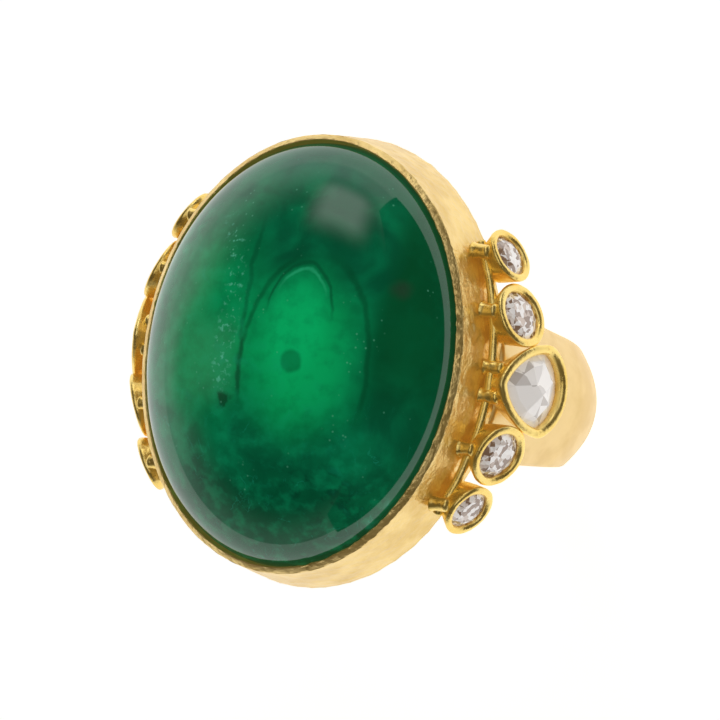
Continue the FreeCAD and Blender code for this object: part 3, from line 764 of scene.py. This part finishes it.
# ------------------------------------------------------------------ gallery wires
# A round wire laid in the crevice between the bezel and each row of collets, fuller with solder
# where it meets them, and short rods from the bezel's wall to every collet.
WIRE_R = 0.3 * MM
WIRE_GAP = 0.04 * MM
WIRE_BARE = 0.84
SOLDER_REACH = 0.55 * MM
STAY_R = 0.38 * MM
STAY_SWELL = 0.22
STAY_END = 0.25
STAY_TIP_SQUARED = 0.03
WALL_BITE = 0.18 * MM
CUP_BITE = 0.08 * MM
PEAR_CUP_BITE = 0.16 * MM
PEAR_STAY_Y = 0.75 * MM


def gallery_wire(side, sx):
    low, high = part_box(f"{side}_gallery_wire")
    z = (low.z + high.z) / 2
    half_y = high.y
    out = bezel_wall_outset(z)
    half_x, long_y = OPEN_X + out, OPEN_Y + out
    bend = long_y ** 2 / half_x
    middle = half_x - bend
    centre_r = bend + WIRE_R + WIRE_GAP
    sweep = math.asin((half_y - WIRE_R) / centre_r)
    rows = []
    for angle in np.linspace(-sweep, sweep, 160):
        spot = np.array([middle + centre_r * math.cos(angle), centre_r * math.sin(angle), z])
        radial = np.array([math.cos(angle), math.sin(angle), 0])
        ring = []
        for t in np.linspace(0, 2 * math.pi, 20, endpoint=False):
            ring.append(spot + WIRE_R * (radial * math.cos(t) + np.array([0, 0, 1]) * math.sin(t)))
        rows.append(ring)
    rows = np.array(rows)
    joints = [0.0] + [sign * ROUND[kind]["y"] for kind in ROUND for sign in (1, -1)]
    near = np.max([np.exp(-((rows[..., 1] - y) / SOLDER_REACH) ** 2) for y in joints], axis=0)
    thin = (WIRE_BARE + (1 - WIRE_BARE) * near) * (1 - 0.10 * np.abs(soft_noise(rows, 1.3 * MM, 41)))
    centres = rows.mean(axis=1, keepdims=True)
    rows = centres + (rows - centres) * thin[..., None]
    rows[..., 0] *= sx
    return skin(f"{side}_bright_wire", rows, (True, True))


def stay(name, start, end, mirror, seed):
    """Short rod soldered between the bezel's wall and a collet, its far end rounded off."""
    start, end = np.array(start), np.array(end)
    way = (end - start) / np.linalg.norm(end - start)
    across = np.cross(way, (0, 1, 0))
    across /= np.linalg.norm(across)
    other = np.cross(way, across)
    rows = []
    for share in np.linspace(0, 1, 22):
        into_end = max((share - 1) / STAY_END + 1, 0)
        rounding = math.sqrt(1 + STAY_TIP_SQUARED - into_end ** 2)
        swell = STAY_R * (1 + STAY_SWELL * abs(2 * share - 1) ** 3) * rounding
        rows.append([start + (end - start) * share + swell * (across * math.cos(a) + other * math.sin(a))
                     for a in np.linspace(0, 2 * math.pi, 24, endpoint=False)])
    rows = np.array(rows)
    centres = rows.mean(axis=1, keepdims=True)
    rows = centres + (rows - centres) * (1 - 0.10 * np.abs(soft_noise(rows, 0.7 * MM, seed)))[..., None]
    return skin(name, rows * np.array([mirror[0], mirror[1], 1.0]), (True, True))


def stays(side, sx):
    """One rod to each round collet, just under its rim, and two to the pear's tip."""
    for kind in ROUND:
        rim = round_setting(kind) @ Vector((-ROUND[kind]["rim"] + CUP_BITE, 0, -0.30 * MM))
        for level, sy in (("upper", 1), ("lower", -1)):
            foot = (wall_x(rim.y) - WALL_BITE, rim.y, rim.z - 0.10 * MM)
            rod = stay(f"{side}_{level}_{kind}_stay", foot, tuple(rim), (sx, sy), 500 + round(rim.y / MM))
            set_on_ring(rod, burnished_gold)
    for level, sy in (("upper", 1), ("lower", -1)):
        tip = pear_setting() @ Vector((-PEAR_TIP + PEAR_CUP_BITE, PEAR_STAY_Y, -0.5 * MM))
        foot = (wall_x(PEAR_STAY_Y) - WALL_BITE, PEAR_STAY_Y, tip.z)
        rod = stay(f"{side}_{level}_pear_stay", foot, tuple(tip), (sx, sy), 520)
        set_on_ring(rod, burnished_gold)


for side, sx in (("right", 1), ("left", -1)):
    set_on_ring(gallery_wire(side, sx), burnished_gold, f"{side}_gallery_wire")
    stays(side, sx)


# ------------------------------------------------------------------ floor, light and camera
# A pale tabletop under the ring inside a white tent. A cloth window lights it from above and a
# weaker one from the left, a reflector stands by the long lens, and a black card on the right
# darkens the big stone's reflections on that side, where its colour also carries painted shade.
def pale_floor():
    mesh = bpy.data.meshes.new("floor")
    reach = 1.5
    z = cad_box[0].z - 0.02 * MM
    mesh.from_pydata([(-reach, -reach, z), (reach, -reach, z), (reach, reach, z), (-reach, reach, z)], [],
                     [(0, 1, 2, 3)])
    floor = bpy.data.objects.new("floor", mesh)
    bpy.context.scene.collection.objects.link(floor)
    paper = Finish("pale paper", None, Roughness=0.9, Emission_Strength=0.88, Emission_Color=(1, 1, 1, 1))
    tone = paper.blend(paper.noise(0.02, 2.0), (0.90, 0.90, 0.90, 1), (0.93, 0.93, 0.93, 1))
    paper.set("Base Color", tone)
    mesh.materials.append(paper.material)


def softbox(name, where, aim, width, height, power):
    lamp = bpy.data.lights.new(name, "AREA")
    lamp.shape = "RECTANGLE"
    lamp.size = width
    lamp.size_y = height
    lamp.energy = power
    stand = bpy.data.objects.new(name, lamp)
    stand.location = where
    stand.rotation_euler = (Vector(aim) - Vector(where)).to_track_quat("-Z", "Y").to_euler()
    stand.visible_camera = False
    bpy.context.scene.collection.objects.link(stand)
    return stand


def feathered_panel(name, where, aim, width, height, strength):
    """Cloth panel lit from behind, brightest in the middle and fading out to its edges."""
    mesh = bpy.data.meshes.new(name)
    x, y = width / 2, height / 2
    mesh.from_pydata([(-x, -y, 0), (x, -y, 0), (x, y, 0), (-x, y, 0)], [], [(0, 1, 2, 3)])
    panel = bpy.data.objects.new(name, mesh)
    panel.location = where
    panel.rotation_euler = (Vector(aim) - Vector(where)).to_track_quat("Z", "Y").to_euler()
    panel.visible_camera = False
    bpy.context.scene.collection.objects.link(panel)
    cloth = Finish(name, None, Roughness=1.0, Base_Color=(0, 0, 0, 1), Emission_Strength=strength)
    across = cloth.step(abs(cloth.axis("X")), x / MM, 0.25 * x / MM)
    along = cloth.step(abs(cloth.axis("Y")), y / MM, 0.25 * y / MM)
    lit = across * along
    cloth.set("Emission Color", cloth.blend(lit, (0, 0, 0, 1), (1.0, 0.99, 0.97, 1)))
    cloth.set("Alpha", lit)
    mesh.materials.append(cloth.material)


def dark_flag():
    """Low black card to the right, so that the stone's far edge reflects darkness."""
    mesh = bpy.data.meshes.new("dark flag")
    x, half, low, high = 0.075, 0.22, cad_box[0].z, 0.095
    mesh.from_pydata([(x, -half, low), (x, half, low), (x, half, high), (x, -half, high)], [], [(0, 1, 2, 3)])
    card = bpy.data.objects.new("dark flag", mesh)
    card.visible_camera = False
    card.visible_diffuse = False
    card.visible_shadow = False
    bpy.context.scene.collection.objects.link(card)
    felt = Finish("black felt", None, Base_Color=(0.01, 0.01, 0.01, 1), Roughness=1.0)
    mesh.materials.append(felt.material)


def light_tent():
    """White walls; each direction gets where they start and end to fade, and both strengths."""
    world = bpy.data.worlds.new("light tent")
    world.use_nodes = True
    tree = world.node_tree
    sky = tree.nodes["Background"]
    where = tree.nodes.new("ShaderNodeTexCoord")
    split = tree.nodes.new("ShaderNodeSeparateXYZ")
    tree.links.new(where.outputs["Generated"], split.inputs[0])
    parts = []
    for letter, ramp in (("Z", (0.05, 0.62, 0.9, 0.02)), ("X", (0.1, 0.8, 1.0, 0.60)),
                         ("Y", (-0.7, 0.1, 0.45, 1.0))):
        fall = tree.nodes.new("ShaderNodeMapRange")
        fall.interpolation_type = "SMOOTHSTEP"
        tree.links.new(split.outputs[letter], fall.inputs[0])
        for socket, number in enumerate(ramp, start=1):
            fall.inputs[socket].default_value = number
        parts.append(fall)
    strength = parts[0]
    for fall in parts[1:]:
        product = tree.nodes.new("ShaderNodeMath")
        product.operation = "MULTIPLY"
        tree.links.new(strength.outputs[0], product.inputs[0])
        tree.links.new(fall.outputs[0], product.inputs[1])
        strength = product
    tree.links.new(strength.outputs[0], sky.inputs["Strength"])
    sky.inputs["Color"].default_value = (0.97, 0.98, 1.0, 1)
    bpy.context.scene.world = world


pale_floor()
light_tent()
VIEW_TURN = math.radians(26.0)
VIEW_LIFT = math.radians(-3.04)
VIEW_ROLL = math.radians(9.21)
towards = Vector((math.sin(VIEW_TURN) * math.cos(VIEW_LIFT), math.sin(VIEW_LIFT),
                  math.cos(VIEW_TURN) * math.cos(VIEW_LIFT)))
sideways = Vector((math.cos(VIEW_TURN), 0, -math.sin(VIEW_TURN)))
upright = towards.cross(sideways)
right = math.cos(VIEW_ROLL) * sideways + math.sin(VIEW_ROLL) * upright
up = -math.sin(VIEW_ROLL) * sideways + math.cos(VIEW_ROLL) * upright
rim_middle = Vector((0, 0, RIM_Z))

feathered_panel("upper window", rim_middle + up * 0.42 + towards * 0.20 - right * 0.05, rim_middle,
               0.44, 0.38, 1.7)
feathered_panel("left window", rim_middle - right * 0.42 + towards * 0.06 + up * 0.05, rim_middle,
               0.26, 0.50, 0.25)
dark_flag()

# A large reflector near the lens, flagged off the big stone so that its dome stays deep green.
lens_reflector = softbox("lens reflector", rim_middle + towards * 0.50 + up * 0.06 + right * 0.06, rim_middle,
                         0.60, 0.60, 0.85)
unlit = ("emerald_dome", "floor", "upper window", "left window", "dark flag")
lit = bpy.data.collections.new("lit by the lens reflector")
for piece in bpy.context.scene.objects:
    if piece.type == "MESH" and piece.name not in unlit:
        lit.objects.link(piece)
lens_reflector.light_linking.receiver_collection = lit

LENS_DISTANCE = 0.3
LENS_RIGHT = 3.2 * MM
LENS_DOWN = 0.375 * MM
camera = bpy.data.cameras.new("camera")
camera.sensor_width = 36
camera.lens = 288
camera.clip_start = 0.01
stand = bpy.data.objects.new("camera", camera)
stand.location = rim_middle + towards * LENS_DISTANCE + right * LENS_RIGHT - up * LENS_DOWN
stand.rotation_euler = Matrix((right, up, towards)).transposed().to_euler()
bpy.context.scene.collection.objects.link(stand)
bpy.context.scene.camera = stand
bpy.context.scene.view_settings.view_transform = "Standard"
